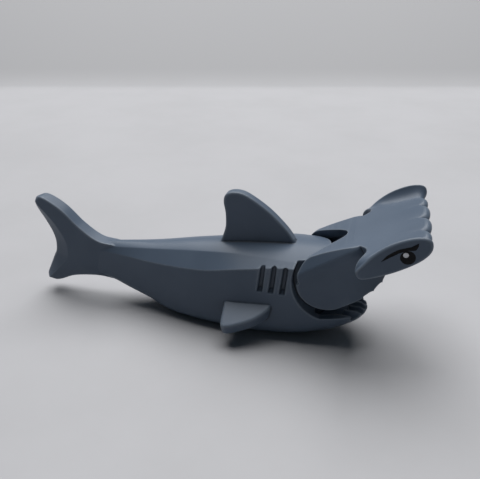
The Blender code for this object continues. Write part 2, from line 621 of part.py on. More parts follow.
def make_head_hollow(material):
    """The space between the cheeks, up to the roof and down through the mouth, left free for the neck."""
    reach = line(HEAD_FRONT, HEAD_BOTTOM)[0] - HEAD_FRONT_WALL
    outline = round_front(CHEEK_INSIDE, HEAD_ARC_START[0][1], reach, HEAD_BACK - BEYOND, 26)
    return prism("head_hollow", outline, HEAD_BOTTOM - BEYOND, ROOF_UNDERSIDE, 2, material)


def make_notch(material):
    """The cutter of the U-shaped notch, through which the neck shows."""
    side = curve_through(NOTCH, 3)
    outline = np.vstack([side[::-1], side[1:] * (1, -1)])
    return prism("roof_notch", outline, ROOF_UNDERSIDE - WEB_FRONT_ROUND, HEAD_LEVELS[-1] + BEYOND, 2, material)


def make_print(name, outline, side, material):
    """A printed patch of the lobe's end, as a colour field sunk by the thickness of the ink."""
    return prism(name, outline, side * (LOBE_END - PRINT_DEPTH), side * (LOBE_END + 1), 1, material)


def make_head(material, black, white):
    head = make_cheeks(material)
    boolean(head, make_head_profile(material), "INTERSECT")
    boolean(head, make_hammer(material), "UNION")
    boolean(head, make_head_hollow(material), "DIFFERENCE")
    boolean(head, make_notch(material), "DIFFERENCE")
    for i in range(TOOTH_VALLEYS + 1):
        angle = (i - TOOTH_VALLEYS / 2) * TOOTH_PITCH
        start = HEAD_ARC_START[0][1]
        valley = make_valley(f"upper_valley_{i + 1}", angle, start, line(HEAD_FRONT, HEAD_BOTTOM)[0] - start, HEAD_BOTTOM,
                             UPPER_VALLEY_DEPTH, UPPER_VALLEY_FALL, material)
        boolean(head, valley, "DIFFERENCE")
    socket = CHEEK_INSIDE + PIN_LENGTH + SIDE_CLEARANCE / 2
    bar = prism("pin_sockets", ring_of_arc((0, 0), PIN_RADIUS + PIN_CLEARANCE, 0, 360 - 360 / 40, 39), -socket, socket,
                1, material)
    boolean(head, bar, "DIFFERENCE")
    for side in (1, -1):
        mark = "left" if side > 0 else "right"
        eye = ring_of_arc(EYE_CENTRE, EYE_RADIUS, 0, 350, 35)
        glint = ring_of_arc(GLINT_CENTRE, GLINT_RADIUS, 0, 340, 17)
        brow = np.vstack([curve_through(BROW_TOP, 3), curve_through(BROW_BOTTOM, 3)])
        boolean(head, make_print(f"brow_print_{mark}", brow, side, black), "DIFFERENCE")
        boolean(head, make_print(f"eye_print_{mark}", eye, side, black), "DIFFERENCE")
        boolean(head, make_print(f"eye_glint_{mark}", glint, side, white), "DIFFERENCE")
    head.location = (HINGE_AHEAD * MM, 0.0, HINGE_HEIGHT * MM)
    head.rotation_euler.y = -math.radians(OPEN_ANGLE)
    return head


clear_scene()
grey = plastic("grey plastic", GREY, 0.38)
head_grey = plastic("grey plastic of the head", GREY, 0.38)
black_ink = plastic("black ink", BLACK, 0.35)
white_ink = plastic("white ink", WHITE, 0.45)
body_object = make_body(grey)
head_object = make_head(head_grey, black_ink, white_ink)
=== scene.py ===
"""Looks of a hinged hammerhead shark figurine: two satin blue-grey mouldings with printed eyes, on a table.

The shark's sizes are in millimetres, and those of the camera, the table and the light are in metres. Places
along the shark are counted from the jaw hinge, positive towards the nose, and heights from the table. The
head's own sizes are about the hinge axis, with the hammer level.
"""

import json
import math

import bmesh
import bpy
import numpy as np
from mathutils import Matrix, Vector


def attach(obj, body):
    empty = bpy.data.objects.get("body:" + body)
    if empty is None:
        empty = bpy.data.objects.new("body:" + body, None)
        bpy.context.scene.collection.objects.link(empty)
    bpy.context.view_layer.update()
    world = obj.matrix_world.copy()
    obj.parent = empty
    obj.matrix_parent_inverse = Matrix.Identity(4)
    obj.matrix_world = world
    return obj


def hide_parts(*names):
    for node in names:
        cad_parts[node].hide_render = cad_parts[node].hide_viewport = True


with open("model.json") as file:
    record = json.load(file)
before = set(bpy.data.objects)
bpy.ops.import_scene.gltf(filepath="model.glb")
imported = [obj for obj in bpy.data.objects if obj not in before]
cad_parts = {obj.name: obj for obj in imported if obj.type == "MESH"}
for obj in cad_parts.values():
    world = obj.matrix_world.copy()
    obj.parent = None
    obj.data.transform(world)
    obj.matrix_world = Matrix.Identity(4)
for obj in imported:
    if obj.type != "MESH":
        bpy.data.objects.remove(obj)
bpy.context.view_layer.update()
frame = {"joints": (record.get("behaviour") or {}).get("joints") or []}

# Camera
# A phone held above the table, a little ahead of the shark's right side. Its place and lens were worked out
# from the outlines in the photograph.
CAMERA_AZIMUTH = math.radians(-14.43)
CAMERA_ELEVATION = math.radians(26.57)
CAMERA_DISTANCE = 0.1574
CAMERA_TARGET = Vector((0.0002, 0.0, 0.0251))
CAMERA_LENS = 41.25  # on a sensor 36 wide
CAMERA_NEAR, CAMERA_FAR = 0.005, 20.0
looking = Vector((
    math.sin(CAMERA_AZIMUTH) * math.cos(CAMERA_ELEVATION),
    math.cos(CAMERA_AZIMUTH) * math.cos(CAMERA_ELEVATION),
    -math.sin(CAMERA_ELEVATION),
))
camera = bpy.data.objects.new("camera", bpy.data.cameras.new("camera"))
bpy.context.scene.collection.objects.link(camera)
bpy.context.scene.camera = camera
camera.data.lens = CAMERA_LENS
camera.data.clip_start = CAMERA_NEAR
camera.data.clip_end = CAMERA_FAR
camera.location = CAMERA_TARGET - looking * CAMERA_DISTANCE
camera.rotation_euler = looking.to_track_quat("-Z", "Y").to_euler()

# Body
# One injection moulding of hard blue-grey plastic: trunk, upright tail, three fins, lower jaw with its teeth,
# the neck that stands in the open head, and the bar with two short pins that the head clips onto.
hinge = np.array(frame["joints"][0]["pos_m"]) * 1000
CROWN = ((-76, 18.6), (-66, 19.8), (-53, 21.2), (-38, 23.8), (-22, 25.8), (-9, 26.7), (12, 26.9))
SHOULDER_HEIGHT = ((-76, 17.8), (-66, 18.9), (-53, 20.4), (-37, 22.6), (-22, 24.2), (-9.5, 24.7), (12, 24.8))
SHOULDER_OUT = ((-76, 1.2), (-66, 2.2), (-53, 3.2), (-37, 5.0), (-22, 6.8), (-9.5, 8.9), (12, 9.0))
EDGE_HEIGHT = ((-76, 16.4), (-66, 17.1), (-52, 17.4), (-36, 18.7), (-24, 21.4), (-9, 23.6), (12, 23.8))
EDGE_OUT = ((-76, 1.4), (-66, 3.0), (-52, 6.0), (-36, 9.1), (-24, 10.6), (-9, 10.9), (12, 10.9))
SIDE_OUT = ((-76, 1.5), (-66, 3.3), (-60, 4.6), (-52, 6.3), (-44, 8.2), (-36, 9.8), (-24, 11.0), (-9, 11.1),
            (1, 10.5))
BELLY = ((-76, 8.4), (-67, 7.0), (-61, 4.9), (-54, 2.5), (-48, 0.5), (-44, 0.0), (-9, 0.0), (-5.5, 0.3),
         (-1.6, 1.1), (1.0, 1.8), (3.6, 2.8), (6.0, 4.0), (8.5, 5.3), (9.9, 6.4), (10.7, 7.3), (11.2, 8.3))
BELLY_ROUND = ((-76, 5.4), (-20, 5.4), (-7, 8.0), (-1.6, 9.0), (11.2, 9.5))
SHOULDER_MOST, EDGE_MOST = 0.82, 0.98  # shares of the side's width
TURN_MOST_WIDE, TURN_MOST_HIGH = 0.9, 0.6  # shares of the side's width and of the flank's height
JAW_ARC_START, JAW_REACH = 1.0, 11.2
RIM = ((-1.2, 9.1), (3.6, 9.6), (9.0, 9.7))
JAW_WALL, JAW_FRONT_WALL = 2.1, 4.9
MOUTH_FLOOR, MOUTH_BACK, MOUTH_ARC_START = 7.1, -3.0, -2.0
TROUGHS = ((1.2, 1.03), (3.62, 1.05), (6.33, 1.3))  # (distance from the middle, half width), on each side
TROUGH_DEPTH, TROUGH_FALL, TROUGH_DEEPEST = 1.3, 0.28, 2.3
LIP_HEIGHT, LIP_WIDTH, CREST_ARC_START, CREST_REACH = 8.5, 0.25, -0.5, 9.4
LIP_SLOPE = (1.8, 1.0, 0.0, -1.4)  # shares of the drop from the crests to the lip, and past both
CUTOUT_CENTRE, CUTOUT_RADIUS, CUTOUT_LOW, CUTOUT_HIGH = (2.16, 20.1), 11.5, 73.0, 37.0
NECK_HALF_WIDTH, NECK_FRONT = 8.1, -0.4
NECK_CORE = (-5, 50)  # heights between which the cutters leave the neck standing
CUTTER_OUT, CUTTER_AHEAD, CUTTER_TOP = 20, 30, 45  # how far the cutters run past the body
PIN_RADIUS, PIN_LENGTH, BARREL_RADIUS = 2.2, 1.4, 2.8
CHEEK_GAP, CHEEK_INSIDE = 0.4, 8.9
GILL_PLACES = (-17.62, -14.52, -11.42)
GILL_WIDTH, GILL_LOW, GILL_HIGH, GILL_DEPTH, GILL_LEAN = 1.35, 15.7, 23.6, 1.3, 6.0
# Each level of a slot: (depth, how much wider on each side, how much lower at its foot)
GILL_LEVELS = ((-1.0, 0.35, 0.9), (0.0, 0.2, 0.5), (GILL_DEPTH / 2, 0.0, 0.0), (GILL_DEPTH, -0.12, -0.9))
DORSAL = ((-32.4, 22.0), (-31.3, 25.6), (-30.2, 29.5), (-30.2, 33.6), (-30.7, 36.8), (-30.1, 39.0),
          (-27.8, 40.0), (-24.2, 39.4), (-18.2, 35.6), (-13.2, 30.9), (-10.6, 27.6), (-8.5, 22.0))
DORSAL_THICKNESS, DORSAL_ROUND = 3.2, 0.6
PECTORAL = ((-14.3, -2.5), (-14.4, 0.2), (-15.4, 2.7), (-18.6, 5.7), (-22.6, 7.7), (-25.8, 8.7), (-27.3, 8.3),
            (-27.8, 6.6), (-28.3, -2.5))
PECTORAL_THICKNESS, PECTORAL_ROUND = 4.3, 0.7
PECTORAL_ROOT, PECTORAL_TILT, PECTORAL_PITCH = (10.4, 11.0), 26.0, 5.0
TAIL_ROWS = ((-91.2, 31.2, -90.3, 32.2), (-90.9, 28.7, -87.3, 32.5), (-88.9, 24.8, -81.7, 29.2),
             (-87.3, 21.2, -76.4, 24.0), (-86.6, 18.5, -70.6, 20.1), (-86.5, 16.4, -63.0, 18.4),
             (-86.9, 13.9, -60.0, 11.0), (-87.8, 12.2, -64.0, 7.6), (-88.7, 10.4, -71.5, 7.9),
             (-90.1, 7.6, -79.8, 6.8), (-91.0, 5.6, -85.2, 4.6), (-90.6, 4.3, -88.6, 3.9))
TAIL_THICKNESS, TAIL_EDGE, TAIL_BEVEL, TAIL_FRONT_ROUND = 4.6, 1.8, 5.2, 0.5
TAIL_UPPER_TIP, TAIL_LOWER_TIP, TAIL_TIP_LEAST = 0.15, 0.07, 0.05  # shares of the length, and of the square
TAIL_BEVEL_MOST = 0.72  # share of the chord
BODY_GRAIN = 0.17  # size of the cells in which the moulding's edges are rounded
BODY_TRIANGLES = 190000
EDGE_STROKES = 3  # how often the edges are smoothed
EDGE_SPREAD, EDGE_CONTRAST = 6, 6.0  # how far and how strongly standing out is noticed
PLASTIC_DEEP = (0.079, 0.107, 0.150, 1)
PLASTIC_LIGHT = (0.090, 0.120, 0.166, 1)
PLASTIC_WORN_AND_HIGHLIT = (0.170, 0.200, 0.240, 1)  # where edges stand out: partly rubbed wear, partly painted highlight
PLASTIC_SHADED = (0.030, 0.036, 0.046, 1)  # painted shade in the corners
PLASTIC_ROUGHNESS, PLASTIC_SHEEN = 0.36, 0.24


def through(stations, places):
    """A smooth line through (place, value) stations: cubic spans whose slopes are harmonic means."""
    x, y = np.array(stations, float).T
    step = np.diff(x)
    slope = np.diff(y) / step
    same_way = slope[:-1] * slope[1:] > 0
    weight_a, weight_b = 2 * step[1:] + step[:-1], step[1:] + 2 * step[:-1]
    safe_a, safe_b = np.where(same_way, slope[:-1], 1.0), np.where(same_way, slope[1:], 1.0)
    inner = np.where(same_way, (weight_a + weight_b) / (weight_a / safe_a + weight_b / safe_b), 0.0)
    tangent = np.concatenate([slope[:1], inner, slope[-1:]])
    at = np.clip(np.asarray(places, float), x[0], x[-1])
    i = np.clip(np.searchsorted(x, at) - 1, 0, len(step) - 1)
    u = (at - x[i]) / step[i]
    start = (1 + 2 * u) * (1 - u) ** 2 * y[i] + u * (1 - u) ** 2 * step[i] * tangent[i]
    return start + u * u * (3 - 2 * u) * y[i + 1] + u * u * (u - 1) * step[i] * tangent[i + 1]


def flowing(points, steps, closed=False):
    """A curve through points: cubic spans whose end slopes are half the way between the neighbours."""
    p = np.array(points, float)
    p = np.vstack([p[-1:], p, p[:2]]) if closed else np.vstack([2 * p[0] - p[1], p, 2 * p[-1] - p[-2]])
    u = np.arange(steps)[None, :, None] / steps
    a, b, c, d = p[:-3, None], p[1:-2, None], p[2:-1, None], p[3:, None]
    spans = b + 0.5 * u * (c - a + u * (2 * a - 5 * b + 4 * c - d + u * (3 * (b - c) + d - a)))
    found = spans.reshape(-1, p.shape[1])
    return found if closed else np.vstack([found, p[-2]])


def arc(centre, radius, start, end, steps):
    """Points on a circle's arc, from one angle in degrees to another."""
    angle = np.radians(np.linspace(start, end, steps + 1))
    return np.column_stack([centre[0] + radius * np.cos(angle), centre[1] + radius * np.sin(angle)])


def ring(centre, radius, count=60):
    """Points all round a circle."""
    return arc(centre, radius, 0, 360 - 360 / count, count - 1)


def skin(name, rings):
    """A closed shell over a grid of rings, in millimetres from the hinge, with a flat cap at each end."""
    rings = np.asarray(rings, float)
    rows, around = rings.shape[:2]
    index = np.arange(rows * around).reshape(rows, around)
    beside = np.roll(index, -1, 1)
    quads = np.stack([index[:-1], beside[:-1], beside[1:], index[1:]], axis=-1).reshape(-1, 4)
    points = (rings.reshape(-1, 3) + (hinge[0], 0, 0)) * 0.001
    mesh = bpy.data.meshes.new(name)
    mesh.from_pydata(points.tolist(), [], quads.tolist() + [index[0].tolist(), index[-1].tolist()])
    shell = bmesh.new()
    shell.from_mesh(mesh)
    bmesh.ops.remove_doubles(shell, verts=shell.verts, dist=1e-6)
    bmesh.ops.recalc_face_normals(shell, faces=shell.faces)
    shell.to_mesh(mesh)
    shell.free()
    made = bpy.data.objects.new(name, mesh)
    bpy.context.scene.collection.objects.link(made)
    return made


def carried(name, outline, low, high, axis):
    """A shell whose outline of two coordinates is carried along the third, from low to high."""
    return skin(name, np.stack([np.insert(outline, axis, level, axis=1) for level in (low, high)]))


def round_ended(half_width, start, reach, back, steps):
    """A plan outline, straight along both sides, that ends in half an ellipse:
    start + (reach - start) cos, half width sin."""
    angle = np.linspace(math.pi / 2, -math.pi / 2, steps + 1)
    nose = np.column_stack([start + (reach - start) * np.cos(angle), half_width * np.sin(angle)])
    return np.vstack([[(back, half_width)], nose, [(back, -half_width)]])


def trunk_grid():
    """Rings across the trunk. Half a ring is a parabola over the crown, a straight band, a sine along the
    flank, a quarter circle under it, and the straight belly; the other half mirrors it."""
    nose = np.sin(np.linspace(0, math.pi / 2, 30)[1:-1]) * (JAW_REACH - JAW_ARC_START) + JAW_ARC_START
    place = np.concatenate([np.linspace(CROWN[0][0], JAW_ARC_START, 170), nose])[:, None]
    closing = np.clip((place - JAW_ARC_START) / (JAW_REACH - JAW_ARC_START), 0, 1)
    side = through(SIDE_OUT, place) * np.sqrt(1 - closing**2)
    crown, shoulder, edge, belly = (through(of, place) for of in (CROWN, SHOULDER_HEIGHT, EDGE_HEIGHT, BELLY))
    shoulder_out = np.minimum(through(SHOULDER_OUT, place), SHOULDER_MOST * side)
    edge_out = np.minimum(through(EDGE_OUT, place), EDGE_MOST * side)
    turn = np.minimum(through(BELLY_ROUND, place), TURN_MOST_WIDE * side)
    turn = np.minimum(turn, TURN_MOST_HIGH * (edge - belly))
    u = np.linspace(0, 1, 15)[None, :]
    v = u[:, 1:]
    quarter = v * math.pi / 2
    out = [shoulder_out * u, shoulder_out + (edge_out - shoulder_out) * v,
           edge_out + (side - edge_out) * np.sin(quarter),
           side - turn + turn * np.cos(quarter), (side - turn) * (1 - v)]
    up = [crown - (crown - shoulder) * u**2, shoulder + (edge - shoulder) * v,
          edge + (belly + turn - edge) * v,
          belly + turn - turn * np.sin(quarter), belly + 0 * v]
    out, up = np.concatenate(out, 1), np.concatenate(up, 1)
    half = np.stack([place + 0 * out, out, up], axis=-1)
    return np.concatenate([half, half[:, -2:0:-1] * (1, -1, 1)], axis=1)


def tail_grid():
    """Rings along the upright tail, from its upper tip to its lower: thin at the rear edge, bevelled to full
    thickness over a crescent as wide as a sine of the height, and rounded at the front edge."""
    rows = flowing(TAIL_ROWS, 10)
    rear, front = rows[:, None, :2], rows[:, None, 2:]
    chord = np.linalg.norm(front - rear, axis=-1)
    along = np.linspace(0, 1, len(rows))[:, None]
    near_tip = np.clip(np.minimum(along / TAIL_UPPER_TIP, (1 - along) / TAIL_LOWER_TIP), 0, 1)
    tip = np.sqrt(np.clip(1 - (1 - near_tip) ** 2, TAIL_TIP_LEAST, 1))
    full, thin = TAIL_THICKNESS / 2 * tip, TAIL_EDGE / 2 * tip
    crescent = np.sin(math.pi * np.clip(along, 0.04, 0.96)) ** 0.8
    bevel = np.minimum(TAIL_BEVEL * crescent, TAIL_BEVEL_MOST * chord)
    edge = np.minimum(TAIL_FRONT_ROUND, 0.1 * chord)
    share = np.linspace(0, 1, 9)[1:]
    rim = 1 - np.cos(np.linspace(0, math.pi / 2, 6))[None, 1:]
    distance = np.concatenate([0 * chord, 0.12 * bevel, 0.3 * bevel * (1 - share) + bevel * share,
                               bevel + (chord - edge - bevel) * share,
                               chord - edge + edge * np.sin(np.arccos(1 - rim))], 1)
    width = np.concatenate([0 * chord, 0.75 * thin, thin + (full - thin) * (0.12 + 0.88 * share),
                            full + 0 * share, full - edge * rim], 1)
    flat = rear + (front - rear) * (distance / chord)[..., None]
    half = np.stack([flat[..., 0], width, flat[..., 1]], axis=-1)
    return np.concatenate([half, half[:, :0:-1] * (1, -1, 1)], axis=1)


def drawn_in(outline, distance):
    """A closed outline moved inwards along its own normals."""
    ahead = np.roll(outline, -1, 0) - np.roll(outline, 1, 0)
    normal = np.column_stack([-ahead[:, 1], ahead[:, 0]]) / np.linalg.norm(ahead, axis=1)[:, None]
    area = np.sum(outline[:, 0] * np.roll(outline[:, 1], -1) - np.roll(outline[:, 0], -1) * outline[:, 1])
    return outline + normal * distance * np.sign(area)


def plate_grid(outline, thickness, rounding):
    """Rings through a plate across Y: its outline, drawn in by a quarter circle towards each face."""
    turn = np.linspace(0, math.pi / 2, 6)
    inwards = rounding * (1 - np.sin(turn))
    level = thickness / 2 - rounding * (1 - np.cos(turn))
    levels = np.concatenate([-level, level[::-1]])
    insets = np.concatenate([inwards, inwards[::-1]])
    rings = [np.insert(drawn_in(outline, inset), 1, out, axis=1) for out, inset in zip(levels, insets)]
    return np.stack(rings)


def dorsal_grid():
    """The back fin: a rounded plate on the middle plane."""
    outline = np.vstack([DORSAL[:1], flowing(DORSAL[1:-1], 8), DORSAL[-1:]])
    return plate_grid(outline, DORSAL_THICKNESS, DORSAL_ROUND)


def pectoral_grid(side):
    """A side fin: a rounded plate laid flat, tilted down to its tip and pitched up to its front."""
    outline = np.vstack([PECTORAL[:1], flowing(PECTORAL[1:-1], 8), PECTORAL[-1:]])
    flat = plate_grid(outline, PECTORAL_THICKNESS, PECTORAL_ROUND)
    place, under, reach = flat[..., 0], flat[..., 1] - PECTORAL_THICKNESS / 2, flat[..., 2]
    tilt, pitch = math.radians(PECTORAL_TILT), math.radians(PECTORAL_PITCH)
    out = PECTORAL_ROOT[0] + reach * math.cos(tilt) + under * math.sin(tilt)
    up = PECTORAL_ROOT[1] - reach * math.sin(tilt) + under * math.cos(tilt)
    return np.stack([place, side * out, up + (place - PECTORAL[-1][0]) * math.tan(pitch)], axis=-1)


def teeth_grid():
    """Plan outlines of what the lip's cut leaves, from the lip up: half ellipses that draw in with height."""
    wide = float(through(SIDE_OUT, JAW_ARC_START)) + LIP_WIDTH
    rings = []
    for share in LIP_SLOPE:
        start = CREST_ARC_START + (JAW_ARC_START - CREST_ARC_START) * share
        reach = CREST_REACH + (JAW_REACH - LIP_WIDTH - CREST_REACH) * share
        plan = round_ended(wide, start, reach, -CUTTER_OUT, 60)
        rings.append(np.insert(plan, 2, RIM[-1][1] - (RIM[-1][1] - LIP_HEIGHT) * share, axis=1))
    return rings


def trough_grid(middle, half):
    """A trough between two lower teeth: half an ellipse across, which falls inwards along the body."""
    place = np.linspace(MOUTH_ARC_START + 1, JAW_REACH + 1, 12)[:, None]
    turn = np.linspace(0, math.pi, 25)[None, :]
    deep = np.minimum(TROUGH_DEPTH + TROUGH_FALL * (JAW_REACH - place), TROUGH_DEEPEST)
    across = middle + np.concatenate([half * np.cos(turn), [[-half, half]]], 1) + 0 * place
    height = RIM[-1][1] + np.concatenate([-deep * np.sin(turn), 3.0 + 0 * place, 3.0 + 0 * place], 1)
    return np.stack([place + 0 * across, across, height], axis=-1)


def gill_grid(place, side):
    """A leaning slot with round ends, narrower and shorter at its floor than at its mouth."""
    lean = math.tan(math.radians(GILL_LEAN))
    middle = (GILL_LOW + GILL_HIGH) / 2
    rings = []
    for depth, spread, ramp in GILL_LEVELS:
        half = GILL_WIDTH / 2 + spread
        top = arc((0, GILL_HIGH - GILL_WIDTH / 2), half, 0, 180, 12)
        low = [(-half, GILL_LOW - ramp), (half, GILL_LOW - ramp)]
        flat = np.vstack([top, low])
        shift = lean * (flat[:, 1] - middle)
        out = np.full(len(flat), side * (through(SIDE_OUT, place) - depth))
        rings.append(np.column_stack([place + flat[:, 0] + shift, out, flat[:, 1]]))
    return rings


def settle(obj):
    """Keeps what the modifiers make as the object's own mesh."""
    graph = bpy.context.evaluated_depsgraph_get()
    mesh = bpy.data.meshes.new_from_object(obj.evaluated_get(graph))
    obj.modifiers.clear()
    obj.data = mesh


def shape_step(obj, kind, **settings):
    """Adds one modifier with its settings."""
    step = obj.modifiers.new(kind.lower(), kind)
    for name, value in settings.items():
        setattr(step, name, value)
    return step


def fused(name, shells, grain):
    """One shell from several that overlap, through cells of the given size in millimetres."""
    joined = bmesh.new()
    for shell in shells:
        joined.from_mesh(shell.data)
        bpy.data.objects.remove(shell, do_unlink=True)
    mesh = bpy.data.meshes.new(name)
    joined.to_mesh(mesh)
    joined.free()
    made = bpy.data.objects.new(name, mesh)
    bpy.context.scene.collection.objects.link(made)
    shape_step(made, "REMESH", mode="VOXEL", voxel_size=grain * 0.001)
    settle(made)
    return made


def cut(target, cutters, operation="DIFFERENCE"):
    """Takes the cutters out of the target, or joins or intersects it with them."""
    for cutter in cutters:
        shape_step(target, "BOOLEAN", operation=operation, solver="MANIFOLD", object=cutter)
    settle(target)
    for cutter in cutters:
        bpy.data.objects.remove(cutter, do_unlink=True)
    return target


def soften(obj, most):
    """Rounds every edge as a mould does, thins the mesh, and stores how sharply each point stood out: the
    mean slope of the edges that leave it, measured along its normal."""
    shape_step(obj, "SMOOTH", factor=0.5, iterations=EDGE_STROKES)
    settle(obj)
    count = len(obj.data.polygons) * 2
    if count > most:
        shape_step(obj, "DECIMATE", decimate_type="COLLAPSE", ratio=most / count)
        settle(obj)
    mesh = obj.data
    many = len(mesh.vertices)
    points = np.empty(many * 3, np.float32)
    mesh.vertices.foreach_get("co", points)
    points = points.reshape(-1, 3)
    ends = np.empty(len(mesh.edges) * 2, np.int32)
    mesh.edges.foreach_get("vertices", ends)
    ends = ends.reshape(-1, 2)
    normals = np.empty(many * 3, np.float32)
    mesh.vertex_normals.foreach_get("vector", normals)
    normals = normals.reshape(-1, 3)
    ahead = points[ends[:, 1]] - points[ends[:, 0]]
    length = np.maximum(np.linalg.norm(ahead, axis=1), 1e-9)
    bend = np.zeros(many)
    weight = np.zeros(many)
    for own, way in ((0, 1), (1, -1)):
        lean = way * np.sum(ahead * normals[ends[:, own]], axis=1) / length
        np.add.at(bend, ends[:, own], lean)
        np.add.at(weight, ends[:, own], 1.0)
    bend /= np.maximum(weight, 1)
    for _ in range(EDGE_SPREAD):
        total = np.zeros(many)
        np.add.at(total, ends[:, 0], bend[ends[:, 1]])
        np.add.at(total, ends[:, 1], bend[ends[:, 0]])
        bend = 0.5 * bend + 0.5 * total / np.maximum(weight, 1)
    convex = mesh.attributes.new("standing_out", "FLOAT", "POINT")
    convex.data.foreach_set("value", np.clip(0.5 - bend * EDGE_CONTRAST, 0, 1).astype(np.float32))
    mesh.shade_smooth()


class Wire:
    """A node's output, with Python's signs for Math nodes, and one method for any other node."""

    def __init__(self, tree, socket):
        self.tree = tree
        self.socket = socket

    def node(self, kind, settings=(), output=0, **values):
        """Adds a node of this kind, sets its settings first and then the sockets that are named."""
        made = self.tree.nodes.new(kind)
        for name, value in dict(settings).items():
            setattr(made, name, value)
        for name, value in values.items():
            place = int(name[1:]) if name[0] == "n" and name[1:].isdigit() else name.replace("_", " ")
            if isinstance(value, Wire):
                self.tree.links.new(value.socket, made.inputs[place])
            else:
                made.inputs[place].default_value = value
        return Wire(self.tree, made.outputs[output])

    def maths(self, operation, first, second):
        """One Math node."""
        return self.node("ShaderNodeMath", {"operation": operation}, n0=first, n1=second)

    def __add__(self, other):
        return self.maths("ADD", self, other)

    def __sub__(self, other):
        return self.maths("SUBTRACT", self, other)

    def __rsub__(self, other):
        return self.maths("SUBTRACT", other, self)

    def __mul__(self, other):
        return self.maths("MULTIPLY", self, other)

    __radd__ = __add__
    __rmul__ = __mul__

    def between(self, low, high):
        """0 up to low, 1 from high, and smooth between them."""
        smooth = {"interpolation_type": "SMOOTHSTEP"}
        return self.node("ShaderNodeMapRange", smooth, Value=self, From_Min=low, From_Max=high)

    def mixed(self, start, end):
        """A colour that goes from start to end as this value goes from 0 to 1."""
        return self.node("ShaderNodeMix", {"data_type": "RGBA"}, output=2, n0=self, n6=start, n7=end)


def finish(name, roughness, specular):
    """A new material with one plain shader, its shader node, and its place on the piece as a wire."""
    made = bpy.data.materials.new(name)
    made.use_nodes = True
    tree = made.node_tree
    shader = tree.nodes["Principled BSDF"]
    shader.inputs["Roughness"].default_value = roughness
    shader.inputs["Specular IOR Level"].default_value = specular
    where = Wire(tree, tree.nodes.new("ShaderNodeTexCoord").outputs["Object"])
    return made, shader, where


def feed(shader, **wires):
    """Links each wire to the shader's socket of that name."""
    for name, wire in wires.items():
        wire.tree.links.new(wire.socket, shader.inputs[name.replace("_", " ")])


def moulded_plastic(name):
    """Satin blue-grey plastic: slightly uneven colour, paler edges that are partly rubbed wear and partly a
    painted highlight, painted shade in the corners, a fine spark-eroded grain, and smears that dull the
    sheen."""
    made, shader, where = finish(name, PLASTIC_ROUGHNESS, PLASTIC_SHEEN)
    cloud = where.node("ShaderNodeTexNoise", n0=where, Scale=55.0, Detail=3.0, Roughness=0.55)
    speck = where.node("ShaderNodeTexNoise", n0=where, Scale=2600.0, Detail=2.0, Roughness=0.5)
    smear = where.node("ShaderNodeTexNoise", n0=where, Scale=190.0, Detail=4.0, Roughness=0.6, Distortion=0.8)
    edge = where.node("ShaderNodeAttribute", {"attribute_name": "standing_out"}, output="Fac")
    colour = cloud.between(0.3, 0.7).mixed(PLASTIC_DEEP, PLASTIC_LIGHT)
    # Paler edges: partly rubbed wear, partly a painted highlight where edges catch the light.
    worn_and_highlit = edge.between(0.55, 0.85) * (0.35 + 0.6 * smear)
    colour = worn_and_highlit.mixed(colour, PLASTIC_WORN_AND_HIGHLIT)
    # Painted shade: where the surface is hollow, in corners and gaps, the colour darkens towards
    # PLASTIC_SHADED.
    painted_shade = (1 - edge.between(0.08, 0.46)) * 0.75
    colour = painted_shade.mixed(colour, PLASTIC_SHADED)
    grain = where.node("ShaderNodeBump", Strength=0.12, Distance=0.00002, Height=speck)
    dulled = PLASTIC_ROUGHNESS - 0.06 + 0.12 * smear + 0.05 * speck
    feed(shader, Base_Color=colour, Roughness=dulled, Normal=grain)
    return made


fins = [skin("tail", tail_grid()), skin("dorsal", dorsal_grid())]
fins += [skin("pectoral", pectoral_grid(side)) for side in (1, -1)]
body = cut(skin("trunk", trunk_grid()), fins, "UNION")

curve = arc(CUTOUT_CENTRE, CUTOUT_RADIUS, 180 - CUTOUT_HIGH, 180 + CUTOUT_LOW, 60)
ahead = np.linspace(RIM[0][0], RIM[-1][0], 15)[1:]
rim = np.column_stack([ahead, through(RIM, ahead)])
ahead_of_mouth = [(CUTTER_AHEAD, RIM[-1][1]), (CUTTER_AHEAD, CUTTER_TOP)]
around_mouth = np.vstack([[(curve[0][0], CUTTER_TOP)], curve, rim, ahead_of_mouth])
neck_start, neck_back = NECK_FRONT - NECK_HALF_WIDTH, NECK_FRONT - CUTTER_OUT
neck_plan = round_ended(NECK_HALF_WIDTH, neck_start, NECK_FRONT, neck_back, 60)
mouth_cut = carried("mouth_cut", around_mouth, -CUTTER_OUT, CUTTER_OUT, 1)
cut(mouth_cut, [carried("neck", neck_plan, *NECK_CORE, 2)])
pocket_half = float(through(SIDE_OUT, JAW_ARC_START)) - JAW_WALL
pocket_plan = round_ended(pocket_half, MOUTH_ARC_START, JAW_REACH - JAW_FRONT_WALL, MOUTH_BACK, 60)
pocket = carried("pocket", pocket_plan, MOUTH_FLOOR, RIM[-1][1] + 4, 2)
cut(pocket, [carried("neck", neck_plan, *NECK_CORE, 2)])
lip_end = JAW_REACH + CUTTER_OUT
lip_plan = ((0, -CUTTER_OUT), (lip_end, -CUTTER_OUT), (lip_end, CUTTER_OUT), (0, CUTTER_OUT))
lip_cut = carried("lip_cut", lip_plan, LIP_HEIGHT, RIM[-1][1] + 1, 2)
cut(lip_cut, [skin("teeth", teeth_grid())])
cutters = [mouth_cut, pocket, lip_cut]
cutters += [skin("trough", trough_grid(side * middle, half)) for middle, half in TROUGHS for side in (1, -1)]
cutters += [skin("gill", gill_grid(place, side)) for place in GILL_PLACES for side in (1, -1)]
cut(body, cutters)

